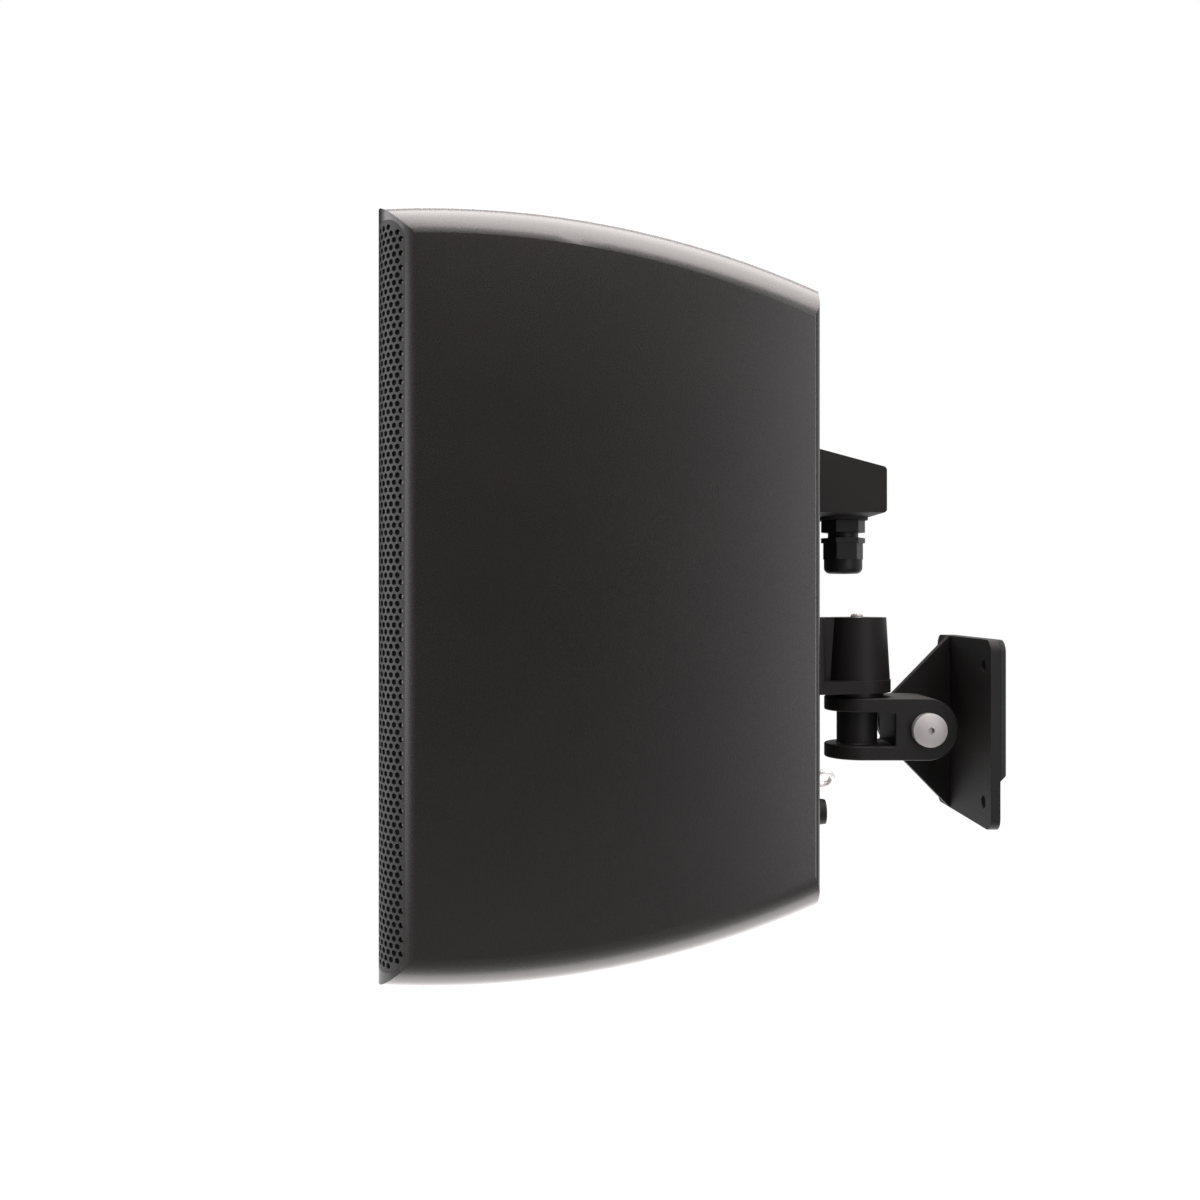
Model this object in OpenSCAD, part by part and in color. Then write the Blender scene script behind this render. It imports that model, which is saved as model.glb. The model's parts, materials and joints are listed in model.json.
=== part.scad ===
// Two-way wall loudspeaker on a cast pan and tilt bracket.
// Millimetres, +Z up. The wall is the plane y = 0 and the front faces -Y.
// The origin is the middle of the bracket's wall plate, on the wall, level with the tilt axis.

/* [Cabinet] */
// Width across the flat sides
body_w = 250; // [236:1:270]
// Height at the crest of the arched top and bottom
body_h = 434; // [428:1:470]
// Depth from the flat front to the flat back
body_d = 244.5; // [225:0.5:300]
// Radius of the arched top and bottom, seen from the side
arch_r = 530; // [480:5:700]
// Distance of the arch's crest behind the front
crest_in = 30; // [20:1:60]
// Radius of the long edges between the sides and the arches
edge_r = 19; // [12:1:26]
// Radius of the upright front corners, seen from above
front_r = 24; // [16:1:28]
// Radius of the upright back corners, seen from above
back_r = 3; // [1:0.5:8]
// Wall thickness of the moulding
wall = 5; // [3.5:0.5:7]
// Height of the cabinet's middle above the tilt axis
lift = 84.4; // [80:0.2:96]

/* [Front opening and grille] */
// Half height of the cabinet's front opening
open_hh = 203; // [199:0.5:204]
// Corner radius of the front opening
open_r = 15; // [10:1:20]
// Width of the ledge that carries the baffle
ledge_w = 6; // [5:0.5:6.5]
// Thickness of the ledge
ledge_t = 6; // [4:0.5:8]
// Thickness of the seal between the cabinet's ledge and the baffle
seal_t = 1; // [0.6:0.1:2]
// How far the grille wraps back round the corners
grille_in = 18; // [12:0.5:18.5]
// Half height of the grille
grille_hh = 207; // [200:0.5:207.5]
// Radius of the grille's rear corners, seen from the side
grille_r = 13; // [8:1:14]
// Thickness of the grille's sheet
sheet_t = 1.2; // [0.8:0.1:2]
// Distance between neighbouring holes in the grille
hole_pitch = 18; // [16:0.5:30]
// Width of a hole across its corners
hole_w = 12.4; // [6:0.2:13]
// Thickness of the cloth behind the grille
cloth_t = 0.6; // [0.4:0.1:1]
// Distance of the baffle's face behind the front
baffle_in = 20; // [19:0.5:24]
// Thickness of the baffle
baffle_t = 6; // [4:0.5:10]

/* [Woofer] */
// Outer radius of the woofer's chassis
woofer_r = 103; // [96:0.5:104]
// Distance of the woofer's centre below the cabinet's middle
woofer_drop = 92; // [90:1:94]
// Outer radius of the cone
cone_r = 79; // [70:0.5:80]
// Radius of the surround's half roll
roll_r = 5.6; // [4:0.2:6]
// Depth of the cone from its rim to the voice coil
cone_d = 42; // [36:1:50]
// Inner radius of the voice coil
coil_r = 17; // [13:0.5:19]
// Outer radius of the magnet
magnet_r = 60; // [50:1:70]
// Thickness of the magnet
magnet_t = 20; // [14:1:26]

/* [Tweeter and port] */
// Outer radius of the tweeter's waveguide
guide_r = 58; // [50:0.5:59]
// Height of the tweeter's centre above the cabinet's middle
tweeter_rise = 75; // [72:1:78]
// Radius of the tweeter's dome
dome_r = 12.5; // [9:0.5:14]
// Inner radius of each reflex port
port_r = 21; // [14:1:22]
// Length of each reflex port
port_l = 90; // [50:5:120]
// Distance of each port from the middle plane
port_x = 60; // [40:1:70]

/* [Electronics] */
// Width of the crossover board
board_w = 130; // [100:2:150]
// Height of the crossover board
board_h = 62; // [50:2:66]
// Width of the transformer's core
core_w = 60; // [44:2:66]
// Distance of the transformer's middle below the tilt axis
core_drop = 22; // [18:1:30]
// Sideways place of the power tap knob
knob_x = 90; // [70:1:96]
// Distance of the power tap knob below the tilt axis
knob_drop = 39; // [30:1:46]
// Radius of the power tap knob
knob_r = 8; // [6:0.5:10]
// Distance of the safety eye below the tilt axis, above the knob
eye_drop = 20; // [12:1:26]

/* [Terminal cover and gland] */
// Width of the terminal cover
cover_w = 90; // [80:1:110]
// Depth of the terminal cover
cover_d = 56; // [50:1:64]
// Height of the terminal cover at the cabinet
cover_h = 43; // [38:1:50]
// Drop of the cover's sloping top
cover_slope = 15.2; // [8:0.2:16]
// Height of the cover's underside above the tilt axis
cover_z = 136; // [128:1:146]
// Wall thickness of the terminal cover
cover_t = 3; // [2:0.2:4]
// Width of the gland across its flats
gland_af = 25; // [22:0.5:28]
// Distance of the gland's axis behind the cabinet's back
gland_out = 38.5; // [30:0.5:40]

/* [Bracket] */
// Distance of the tilt axis from the wall
tilt_out = 37.5; // [35:0.5:60]
// Distance between the tilt and the pan axis
link_l = 40.5; // [36:0.5:70]
// Distance of the pan axis from the cabinet's back
pan_out = 47.5; // [46:0.5:70]
// Width of the link
link_w = 42; // [40:1:52]
// Height of the link
link_h = 39.5; // [36:0.5:50]
// Thickness of each of the link's two plates
link_plate = 9; // [8:0.5:12]
// Radius of the post between the link's plates
post_r = 13; // [9:0.2:14]
// Radius of the tilt bolt
tilt_bolt_r = 6; // [5:0.5:8]
// Radius of the pan bolt
pan_bolt_r = 4; // [3:0.5:5]
// Width of the wall plate
plate_w = 110; // [90:1:130]
// Height of the wall plate
plate_h = 116; // [96:0.5:140]
// Thickness of the wall plate
plate_t = 5.9; // [4:0.1:10]
// Corner radius of the wall plate
plate_r = 8; // [4:0.5:12]
// Sideways distance between the wall plate's holes
bolt_x = 83; // [70:1:90]
// Upright distance between the wall plate's holes
bolt_z = 84; // [70:1:96]
// Radius of the wall plate's holes
bolt_r = 4; // [2.5:0.25:5]
// Thickness of the pad behind the wall plate
pad_t = 3.4; // [2:0.2:6]
// Distance of the pad's lower edge below the tilt axis
pad_drop = 26; // [10:1:30]
// Thickness of the fin
fin_t = 7; // [5:0.5:10]
// Radius of the fin round the tilt axis
fin_r = 20.2; // [17:0.2:24]
// Height of the barrel's top above the tilt axis
barrel_top = 70.9; // [66:0.1:84]
// Radius of the barrel at its top
barrel_r1 = 18.7; // [16:0.1:22]
// Radius of the barrel at its foot
barrel_r2 = 21.5; // [18:0.1:24]
// Half width of the housing's block
block_hw = 30; // [26:1:40]
// Depth of the housing's block
block_d = 22; // [16:1:24]

/* [Hidden] */

// Shared clearances
gap = 0.3;
run = 0.05;
slip = 0.1;
eps = 0.01;
over = 1;
fine = 96;
huge = 240;
black = [0.12, 0.115, 0.115];
casting = [0.15, 0.14, 0.14];
steel = [0.75, 0.74, 0.73];
plastic = [0.2, 0.2, 0.2];

// Places along Y
tilt_y = -tilt_out;
pan_y = tilt_y - link_l;
back_y = pan_y - pan_out;
front_y = back_y - body_d;
crest_y = front_y + crest_in;
baffle_y = front_y + baffle_in;
baffle_back = baffle_y + baffle_t;
ledge_y = baffle_back + seal_t;
ledge_back = ledge_y + ledge_t;
inner_back = back_y - wall;
hw = body_w / 2;
hh = body_h / 2;
open_hw = hw - wall;
rim_w = 3;
cover_sheet = sheet_t + cloth_t + slip;

// Woofer depths, counted backwards from the baffle's face
gasket_t = 1.5;
chassis_t = 4;
rim_d = -gasket_t - chassis_t;
lip_t = 1.2;
cone_t = 0.9;
roll_mid = cone_r + roll_r;
screw_ring = woofer_r - 6;
coil_d = rim_d + cone_d;
spider_d = coil_d + 3;
shelf_r = 48;
top_d = coil_d + 17;
top_t = 6;
pole_r = coil_r - 0.9;
former_t = 0.4;
winding_t = 0.7;
cone_play = 0.9;
yoke_t = 6;
cut_r = roll_mid + roll_r;
cap_r = 26;
cap_crown = 34;
rim_in = cone_r - 4;
neck_in = coil_r + former_t;
cap_seat = rim_d + cone_t + (rim_in - cap_r) / (rim_in - neck_in) * (cone_d - 2 * cone_t);
woofer_z = lift - woofer_drop;
tweeter_z = lift + tweeter_rise;
port_z = tweeter_z + guide_r + port_r + 10;
core_z = -core_drop;

// Fasteners
boss_r = 9;
boss_l = 36;
screw_r = 2.2;
head_r = 4;
head_t = 2.6;
small_head_r = head_r - 0.5;
lip_w = screw_ring - small_head_r - gap - cut_r + lip_t;
screw_x = open_hw - ledge_w - screw_r - 0.8;
screw_zs = [-0.91, -0.32, 0.32, 0.91] * open_hh;
flange_head_r = 5;
flange_screw_x = block_hw + flange_head_r + 1;
flange_screw_z = 24;
flange_t = 6;
flange_w = 84;
flange_h = 64;
m6_r = 3;
insert_r = 4.5;
insert_l = 12;
insert_boss_r = 8;
eye_boss_r = 7;
boss_floor = 3;
switch_r = knob_drop - eye_drop - eye_boss_r - gap;
switch_l = 18;
bush_r = 5;
bush_out = 0.7;
shaft_in = 12;
shaft_out = 6;
knob_l = 8;

// Bracket details
plate_back = -pad_t;
plate_face = plate_back - plate_t;
link_hw = link_w / 2;
link_hh = link_h / 2;
slot_y = tilt_y - 20.8;
fin_x = link_hw + 5.5;
boss_fin_r = 17;
barrel_z = link_hh + 2.95;
housing_mid = (barrel_top + barrel_z) / 2;
shelf_t = 8;
neck_hw = 9;
nut_drop = 9;
nut_h = 7;
bolt_out = 2.2;
tilt_head_r = 10.7;
head_crown = 36;
tilt_recess_r = 2.3;
tilt_head_t = 7;
tilt_nut_h = 10;
washer_t = 1.5;

// Gland heights
gland_y = back_y + gland_out;
gland_seal_t = 2;
gland_top = cover_z - gland_seal_t;
hex_h = 8.1;
neck_h = 3.5;
neck_r = 9.75;
nut_top = gland_top - hex_h - neck_h;
dome_h = 9.3;
dome_edge_r = 4;
gland_dome_r = gland_af / 2 - 0.2;
gland_nut_h = 23.2;
nut_flange_h = 3.3;
nut_end = nut_top - gland_nut_h;
gland_hex_r = gland_af / sqrt(3);
nut_hex_r = gland_hex_r - 1.4;
thread_r = 10;
cable_r = 5;
cover_top = cover_z + cover_h;
cover_chamfer = 1.2;
cover_back = back_y + cover_d;

// Shapes used again and again

// Rectangle about the origin with round corners
module round_rect(w, h, r) {
    square([w - 2 * r, h], center = true);
    square([w, h - 2 * r], center = true);
    for (x = [-1, 1], y = [-1, 1])
        translate([x * (w / 2 - r), y * (h / 2 - r)]) circle(r, $fn = 48);
}

// Prism along X between two places, from an outline drawn in Y and Z
module along_x(x0, x1) {
    translate([x0, 0, 0]) rotate([90, 0, 90]) linear_extrude(x1 - x0) children();
}

// Prism along Y between two places, from an outline drawn in X and Z
module along_y(y0, y1) {
    translate([0, y1, 0]) rotate([90, 0, 0]) linear_extrude(y1 - y0) children();
}

module along_z(z0, z1) {
    translate([0, 0, z0]) linear_extrude(z1 - z0) children();
}

module rod_x(r, x0, x1, sides = fine) {
    translate([x0, 0, 0]) rotate([0, 90, 0]) cylinder(h = x1 - x0, r = r, $fn = sides);
}

module rod_y(r, y0, y1, sides = fine) {
    translate([0, y1, 0]) rotate([90, 0, 0]) cylinder(h = y1 - y0, r = r, $fn = sides);
}

module rod_z(r, z0, z1, sides = fine) {
    translate([0, 0, z0]) cylinder(h = z1 - z0, r = r, $fn = sides);
}

module ring_y(r_in, r_out, y0, y1) {
    difference() {
        rod_y(r_out, y0, y1);
        rod_y(r_in, y0 - over, y1 + over);
    }
}

module ring_z(r_in, r_out, z0, z1) {
    difference() {
        rod_z(r_out, z0, z1);
        rod_z(r_in, z0 - over, z1 + over);
    }
}

// Disc about an X axis with a rounded rim: the arch, and the round edges at its ends
module rim_disc(r, half, e) {
    rotate([0, 90, 0]) rotate_extrude($fn = huge) {
        translate([0, -half]) square([r - e, 2 * half]);
        translate([0, -half + e]) square([r, 2 * (half - e)]);
        for (s = [-1, 1]) translate([r - e, s * (half - e)]) circle(e, $fn = 48);
    }
}

// Cabinet outline seen from above, moved inwards by an inset
module body_plan(inset) {
    r1 = front_r - inset;
    r2 = max(back_r - inset, 0.5);
    y1 = front_y + inset;
    y2 = back_y - inset;
    w = hw - inset;
    translate([-w, y1 + r1]) square([2 * w, y2 - r2 - y1 - r1]);
    translate([-w + r1, y1]) square([2 * (w - r1), r1 + eps]);
    translate([-w + r2, y2 - r2 - eps]) square([2 * (w - r2), r2 + eps]);
    for (s = [-1, 1]) {
        translate([s * (w - r1), y1 + r1]) circle(r1, $fn = 64);
        translate([s * (w - r2), y2 - r2]) circle(r2, $fn = 32);
    }
}

// Whole outer form of the cabinet, moved inwards by an inset
module body_form(inset = 0) {
    intersection() {
        arch(1, inset);
        arch(-1, inset);
        along_z(lift - hh - over, lift + hh + over) body_plan(inset);
    }
}

module arch(side, inset) {
    translate([0, crest_y, lift + side * (hh - arch_r)])
        rim_disc(arch_r - inset, hw - inset, edge_r - inset);
}

// Side outline of what wraps round the front corners: flat in front, round corners behind
module wrap_side(y1, half, r) {
    translate([front_y - over, lift - half]) square([y1 - r - front_y + over, 2 * half]);
    translate([front_y - over, lift - half + r]) square([y1 - front_y + over, 2 * (half - r)]);
    for (s = [-1, 1]) translate([y1 - r, lift + s * (half - r)]) circle(r, $fn = 64);
}

module wrap_solid(y1, half, r) {
    along_x(-hw - over, hw + over) wrap_side(y1, half, r);
}

// Prism of the front opening's outline, moved inwards by an inset
module opening(inset, y0, y1) {
    along_y(y0, y1) translate([0, lift])
        round_rect(2 * (open_hw - inset), 2 * (open_hh - inset), open_r - inset);
}

// Puts a driver's turned shape on the baffle, its own Z axis pointing backwards
module on_baffle(x, z) {
    translate([x, baffle_y, z]) rotate([-90, 0, 0]) children();
}

module screw_places_baffle() {
    for (s = [-1, 1], z = screw_zs) translate([s * screw_x, 0, lift + z]) children();
}

module screw_places_housing() {
    for (x = [-1, 1], z = [-1, 1])
        translate([x * flange_screw_x, 0, housing_mid + z * flange_screw_z]) children();
}

module screw_places_cover() {
    for (s = [-1, 1]) translate([s * (cover_w / 2 - 9), 0, cover_z + 12]) children();
}

// Screw with a shallow round head, its shank pointing to +Y from the head's seat
module pan_screw(r, hr, ht, l) {
    difference() {
        union() {
            rod_y(hr, -ht, 0, 32);
            rod_y(r, -eps, l, 24);
        }
        rod_y(hr * 0.4, -ht - over, -ht * 0.4, 6);
    }
}

// Wall side of the bracket

function tangent_y(py, pz) = let (
    d = norm([py - tilt_y, pz]),
    a = atan2(pz, py - tilt_y) + acos(fin_r / d)
) tilt_y + fin_r * cos(a);

function tangent_z(py, pz) = let (
    d = norm([py - tilt_y, pz]),
    a = atan2(pz, py - tilt_y) + acos(fin_r / d)
) fin_r * sin(a);

module fin_side() {
    foot = plate_h / 2;
    ty = tangent_y(plate_face, foot);
    tz = tangent_z(plate_face, foot);
    translate([tilt_y, 0]) circle(fin_r, $fn = fine);
    polygon([[plate_face + over, -foot], [plate_face + over, foot], [plate_face, foot], [ty, tz],
        [tilt_y, 0], [ty, -tz], [plate_face, -foot]]);
}

module plate_holes(r, y0, y1) {
    for (x = [-1, 1], z = [-1, 1])
        translate([x * bolt_x / 2, 0, z * bolt_z / 2]) rod_y(r, y0, y1);
}

module wall_bracket() {
    color(casting) difference() {
        union() {
            along_y(plate_face, plate_back) round_rect(plate_w, plate_h, plate_r);
            along_x(-fin_x - fin_t, -fin_x) intersection() {
                fin_side();
                translate([tilt_y - fin_r - over, -plate_h / 2])
                    square([tilt_out + fin_r + over - pad_t, plate_h]);
            }
            translate([0, tilt_y, 0]) rod_x(boss_fin_r, -fin_x - over, -link_hw - gap);
        }
        plate_holes(bolt_r, plate_face - over, plate_back + over);
        translate([0, tilt_y, 0]) rod_x(tilt_bolt_r + slip, -fin_x - fin_t - over, -link_hw + over);
    }
}

module wall_pad() {
    color(black) difference() {
        intersection() {
            along_y(plate_back, 0) round_rect(plate_w, plate_h, plate_r);
            along_x(-plate_w, plate_w) polygon([[plate_back, plate_h], [0, plate_h],
                [0, -pad_drop + pad_t / 2], [plate_back, -pad_drop - pad_t / 2]]);
        }
        plate_holes(bolt_r, plate_back - over, over);
    }
}

module tilt_bolt() {
    seat = link_hw + gap;
    color(steel) translate([0, tilt_y, 0]) difference() {
        union() {
            intersection() {
                rod_x(tilt_head_r, seat, seat + tilt_head_t);
                translate([seat + tilt_head_t - head_crown, 0, 0]) sphere(head_crown, $fn = fine);
            }
            rod_x(tilt_bolt_r, -fin_x - fin_t - washer_t - tilt_nut_h - 2.5, seat + over);
        }
        rod_x(tilt_recess_r, seat + tilt_head_t - 2.5, seat + tilt_head_t + over, 6);
    }
}

module tilt_washer() {
    x = -fin_x - fin_t;
    color(steel) translate([0, tilt_y, 0]) difference() {
        rod_x(12, x - washer_t, x);
        rod_x(tilt_bolt_r + slip, x - washer_t - over, x + over);
    }
}

module tilt_nut() {
    x = -fin_x - fin_t - washer_t;
    color(steel) translate([0, tilt_y, 0]) difference() {
        rod_x(tilt_bolt_r * 1.83, x - tilt_nut_h, x, 6);
        rod_x(tilt_bolt_r + slip, x - tilt_nut_h - over, x + over);
    }
}

// Link between the two axes

module link_arm() {
    far = pan_y - link_hw - over;
    color(casting) difference() {
        intersection() {
            along_z(-link_hh - over, link_hh + over) {
                translate([0, pan_y]) circle(link_hw, $fn = fine);
                translate([-link_hw, pan_y]) square([link_w, tilt_y + link_hh - pan_y]);
            }
            along_x(-link_hw - over, link_hw + over) {
                translate([tilt_y, 0]) circle(link_hh, $fn = fine);
                translate([far, -link_hh]) square([tilt_y - far, link_h]);
            }
        }
        difference() {
            translate([-link_hw - over, far, -link_hh + link_plate])
                cube([link_w + 2 * over, slot_y - far, link_h - 2 * link_plate]);
            translate([0, pan_y, 0]) rod_z(post_r, -link_hh, link_hh);
        }
        translate([0, pan_y, 0]) rod_z(pan_bolt_r + slip, -link_hh - over, link_hh + over);
        translate([0, pan_y, 0]) rod_z(7.2, -link_hh - over, -link_hh + link_plate);
        translate([0, tilt_y, 0]) rod_x(tilt_bolt_r + run, -link_hw - over, link_hw + over);
    }
}

module thrust_washer() {
    color(plastic) translate([0, pan_y, 0])
        ring_z(pan_bolt_r + slip, 17, link_hh, barrel_z - gap);
}

module pan_bolt() {
    color(steel) translate([0, pan_y, 0]) difference() {
        union() {
            rod_z(6.8, -link_hh + 0.6, -link_hh + link_plate, 48);
            rod_z(pan_bolt_r, -link_hh + 2, barrel_top + bolt_out - 1, 48);
            translate([0, 0, barrel_top + bolt_out - 1])
                cylinder(h = 1, r1 = pan_bolt_r, r2 = pan_bolt_r - 1, $fn = 48);
        }
        rod_z(3.4, -link_hh - over, -link_hh + 5, 6);
    }
}

module pan_washer() {
    z = barrel_top - nut_drop + gap;
    color(steel) translate([0, pan_y, 0]) ring_z(pan_bolt_r + slip, 8.4, z, z + 1.2);
}

module pan_nut() {
    z = barrel_top - nut_drop + gap + 1.2;
    color(steel) translate([0, pan_y, 0]) difference() {
        rod_z(7.5, z, z + nut_h, 6);
        rod_z(pan_bolt_r + slip, z - over, z + nut_h + over, 48);
    }
}

// Speaker side of the bracket

module pan_housing() {
    color(casting) difference() {
        union() {
            translate([0, 0, housing_mid]) along_y(back_y, back_y + flange_t)
                round_rect(flange_w, flange_h, 6);
            along_z(barrel_z, barrel_top)
                translate([0, back_y + block_d / 2]) round_rect(2 * block_hw, block_d, 4);
            translate([-block_hw, back_y, barrel_z])
                cube([2 * block_hw, block_d / 2, barrel_top - barrel_z]);
            translate([-neck_hw, back_y, barrel_z])
                cube([2 * neck_hw, pan_out, barrel_top - barrel_z]);
            translate([0, pan_y, barrel_z])
                cylinder(h = barrel_top - barrel_z, r1 = barrel_r2, r2 = barrel_r1, $fn = fine);
            along_z(barrel_z, barrel_z + shelf_t) {
                translate([0, pan_y]) circle(barrel_r2, $fn = fine);
                polygon([[-block_hw, back_y + block_d - 4], [block_hw, back_y + block_d - 4],
                    [barrel_r2, pan_y], [-barrel_r2, pan_y]]);
            }
        }
        translate([0, pan_y, 0]) rod_z(pan_bolt_r + run, barrel_z - over, barrel_top + over);
        translate([0, pan_y, 0]) rod_z(9, barrel_top - nut_drop, barrel_top + over);
        screw_places_housing() rod_y(m6_r + slip, back_y - over, back_y + flange_t + over, 48);
    }
}

module housing_screws() {
    color(steel) screw_places_housing() translate([0, back_y + flange_t, 0])
        mirror([0, 1, 0]) pan_screw(m6_r, flange_head_r, 3.3, flange_t + 9);
}

module housing_inserts() {
    color("goldenrod") screw_places_housing() difference() {
        rod_y(insert_r, back_y - insert_l, back_y);
        rod_y(m6_r + slip, back_y - insert_l - over, back_y + over, 48);
    }
}

module safety_eye() {
    color(steel) translate([knob_x, back_y, -eye_drop]) {
        rod_y(5, 0, 2.5, 48);
        rod_y(m6_r - 0.1, -insert_l, eps, 48);
        translate([0, 8, 0]) rotate([0, 35, 0]) rotate([0, 90, 0])
            rotate_extrude($fn = 48) translate([5, 0]) circle(1.7, $fn = 24);
    }
}

// Cabinet and its front

module cabinet() {
    color(black) difference() {
        union() {
            difference() {
                body_form();
                intersection() {
                    body_form(wall);
                    translate([-hw, ledge_back, lift - hh]) cube([body_w, body_d, body_h]);
                }
                opening(0, front_y - over, ledge_y);
                opening(ledge_w, front_y, ledge_back + over);
                grille_seat();
            }
            intersection() {
                screw_places_baffle() rod_y(boss_r, ledge_y, ledge_y + boss_l, 48);
                body_form(wall - over);
            }
            screw_places_housing() rod_y(insert_boss_r, back_y - insert_l - boss_floor, back_y - over, 48);
            translate([knob_x, 0, -eye_drop])
                rod_y(eye_boss_r, back_y - insert_l - boss_floor, back_y - over, 48);
        }
        screw_places_baffle() rod_y(screw_r, baffle_back - over, baffle_back + 22, 24);
        screw_places_housing() rod_y(insert_r + slip, back_y - insert_l, back_y + over, 48);
        translate([knob_x, 0, -eye_drop]) rod_y(m6_r, back_y - insert_l, back_y + over, 48);
        translate([knob_x, 0, -knob_drop]) rod_y(bush_r + slip, inner_back - over, back_y + over, 48);
        translate([-16, inner_back - over, cover_z + 20]) cube([32, wall + 2 * over, 8]);
        screw_places_cover() rod_y(screw_r, back_y - 4, back_y + over, 24);
    }
}

module baffle_seal() {
    color("dimgray") difference() {
        opening(gap, baffle_back, ledge_y);
        opening(ledge_w, baffle_back - over, ledge_y + over);
        screw_places_baffle() rod_y(screw_r + slip, baffle_back - over, ledge_y + over, 24);
    }
}

// What the wrap-round grille takes out of the cabinet's front edge
module grille_seat() {
    difference() {
        wrap_solid(front_y + grille_in + slip, grille_hh + slip, grille_r + slip);
        body_form(cover_sheet);
    }
}

module front_baffle() {
    color([0.1, 0.1, 0.1]) difference() {
        union() {
            opening(gap, baffle_y, baffle_back);
            difference() {
                intersection() {
                    opening(gap, front_y, baffle_y + over);
                    body_form(cover_sheet);
                }
                opening(gap + rim_w, front_y - over, baffle_y + 2 * over);
            }
        }
        on_baffle(0, woofer_z) rod_z(cut_r, -over, baffle_t + over);
        on_baffle(0, tweeter_z) rod_z(guide_r - 9, -over, baffle_t + over);
        for (s = [-1, 1]) on_baffle(s * port_x, port_z) rod_z(port_r + 3, -over, baffle_t + over);
        screw_places_baffle() rod_y(screw_r + slip, baffle_y - over, baffle_back + over, 24);
        driver_screws(screw_ring, 8, woofer_z) rod_z(screw_r, -over, baffle_t + over, 24);
        driver_screws(guide_r - 4.5, 4, tweeter_z) rod_z(screw_r, -over, baffle_t + over, 24);
    }
}

module baffle_screws() {
    color(steel) screw_places_baffle() translate([0, baffle_y, 0])
        pan_screw(screw_r, head_r, head_t, baffle_t + 16);
}

// Rows of holes: even rows start in the middle, odd rows are set over by half a pitch
row_h = hole_pitch * sqrt(3) / 2;
flat_hw = hw - front_r;
rows = floor((grille_hh - hole_w * 0.75) / row_h);
side_l = front_r * PI / 2 + grille_in - front_r;
reach = flat_hw + side_l - hole_w * 0.72;
mid_r = front_r - sheet_t / 2;

module hole_at(s) {
    bend = max(min((abs(s) - flat_hw) / mid_r, PI / 2), 0) * 180 / PI;
    past = max(abs(s) - flat_hw - mid_r * PI / 2, 0);
    flat = min(abs(s), flat_hw);
    mirror([s < 0 ? 1 : 0, 0, 0]) translate([flat, front_y + front_r + past, 0])
        rotate([0, 0, bend]) translate([0, -front_r, 0])
            rod_y(hole_w / 2, -2, sheet_t + 2, 6);
}

module grille_holes() {
    for (i = [-rows : rows]) {
        shift = (abs(i) % 2) * hole_pitch / 2;
        inset = max(0, abs(i) * row_h - (grille_hh - grille_r - hole_w));
        n = floor((reach - inset - shift) / hole_pitch);
        for (j = [-n - (shift > 0 ? 1 : 0) : n])
            translate([0, 0, lift + i * row_h]) hole_at(shift + j * hole_pitch);
    }
}

module grille() {
    color([0.24, 0.23, 0.23]) difference() {
        intersection() {
            body_form();
            wrap_solid(front_y + grille_in, grille_hh, grille_r);
        }
        body_form(sheet_t);
        grille_holes();
    }
}

module grille_cloth() {
    margin = 3;
    color([0.05, 0.05, 0.05]) difference() {
        intersection() {
            body_form(sheet_t);
            wrap_solid(front_y + grille_in - margin, grille_hh - margin, grille_r - margin);
        }
        body_form(sheet_t + cloth_t);
    }
}

// Woofer

module driver_screws(r, n, z) {
    on_baffle(0, z) for (i = [0 : n - 1]) rotate([0, 0, (i + 0.5) * 360 / n])
        translate([r, 0, 0]) children();
}

module woofer_gasket() {
    color("dimgray") on_baffle(0, woofer_z) difference() {
        ring_z(cut_r, woofer_r, -gasket_t, 0);
        for (i = [0 : 7]) rotate([0, 0, (i + 0.5) * 45]) translate([screw_ring, 0, 0])
            rod_z(screw_r + slip, -gasket_t - over, over, 24);
    }
}

module woofer_basket() {
    t = 2.5;
    color([0.2, 0.2, 0.21]) on_baffle(0, woofer_z) difference() {
        rotate_extrude($fn = fine) polygon([[cut_r - 3, rim_d], [woofer_r, rim_d],
            [woofer_r, -gasket_t], [cut_r - 0.5, -gasket_t], [shelf_r + 6, spider_d],
            [shelf_r + 4, top_d], [coil_r + 6, top_d], [coil_r + 6, top_d - t],
            [shelf_r + 4 - t, top_d - t], [shelf_r + 4 - t, spider_d + 1.6],
            [shelf_r - 6, spider_d + 1.6], [shelf_r - 6, spider_d], [shelf_r + 3, spider_d]]);
        for (i = [0 : 5]) rotate([0, 0, i * 60])
            translate([shelf_r + 2, -20, 3]) cube([40, 40, spider_d - 8]);
        for (i = [0 : 7]) rotate([0, 0, (i + 0.5) * 45]) translate([screw_ring, 0, 0])
            rod_z(screw_r + slip, rim_d - over, over, 24);
    }
}

module woofer_screws() {
    color(steel) driver_screws(screw_ring, 8, woofer_z) translate([0, 0, rim_d])
        rotate([90, 0, 0]) pan_screw(screw_r - slip, small_head_r, head_t, 18);
}

module woofer_surround() {
    color("black") on_baffle(0, woofer_z) rotate_extrude($fn = fine) {
        translate([roll_mid, rim_d]) difference() {
            circle(roll_r, $fn = 48);
            circle(roll_r - lip_t, $fn = 48);
            translate([-2 * roll_r, 0]) square([4 * roll_r, 2 * roll_r]);
        }
        translate([cut_r - lip_t, rim_d - lip_t]) square([lip_w, lip_t]);
        translate([cone_r - 3, rim_d - lip_t]) square([3 + lip_t, lip_t]);
    }
}

module woofer_cone() {
    color([0.1, 0.1, 0.1]) on_baffle(0, woofer_z) rotate_extrude($fn = fine)
        polygon([[cone_r, rim_d], [cone_r, rim_d + cone_t], [neck_in + 2 * cone_t, coil_d],
            [neck_in, coil_d], [neck_in, coil_d - cone_t],
            [rim_in, rim_d + cone_t], [rim_in, rim_d]]);
}

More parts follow.
